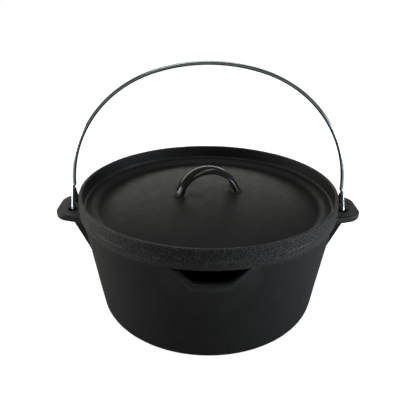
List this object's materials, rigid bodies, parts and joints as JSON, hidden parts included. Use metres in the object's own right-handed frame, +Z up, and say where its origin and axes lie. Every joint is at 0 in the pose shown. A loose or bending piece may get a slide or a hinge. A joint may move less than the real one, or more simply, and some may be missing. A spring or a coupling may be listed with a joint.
{
  "type": "cast iron dutch oven",
  "caption": "Round cast iron pot with flared pour spout and drilled side lugs, flanged coal lid with arch handle, and a swinging wire bail.",
  "frame": {"origin": "centre of the pot's flat base, on the surface it stands on", "axes": "+Z up; X runs through the two lugs and is the bail's hinge line; the pour spout faces -Y"},
  "size_m": [0.3112, 0.2655, 0.2542],
  "materials": {
    "seasoned_iron": "black seasoned sand casting, fine matte grain",
    "zinc_wire": "bright zinc-plated steel wire"
  },
  "bodies": {
    "pot": {"pot": "seasoned_iron"},
    "lid": {"lid": "seasoned_iron"},
    "bail": {"bail": "zinc_wire"}
  },
  "joints": [
    {"name": "lid_lift", "type": "slide", "parent": "pot", "child": "lid", "axis": [0, 0, 1], "range_m": [0, 0.02]},
    {"name": "bail_swing", "type": "hinge", "parent": "pot", "child": "bail", "pos_m": [0, 0, 0.10475], "axis": [1, 0, 0], "range_deg": [-52, 52]}
  ]
}
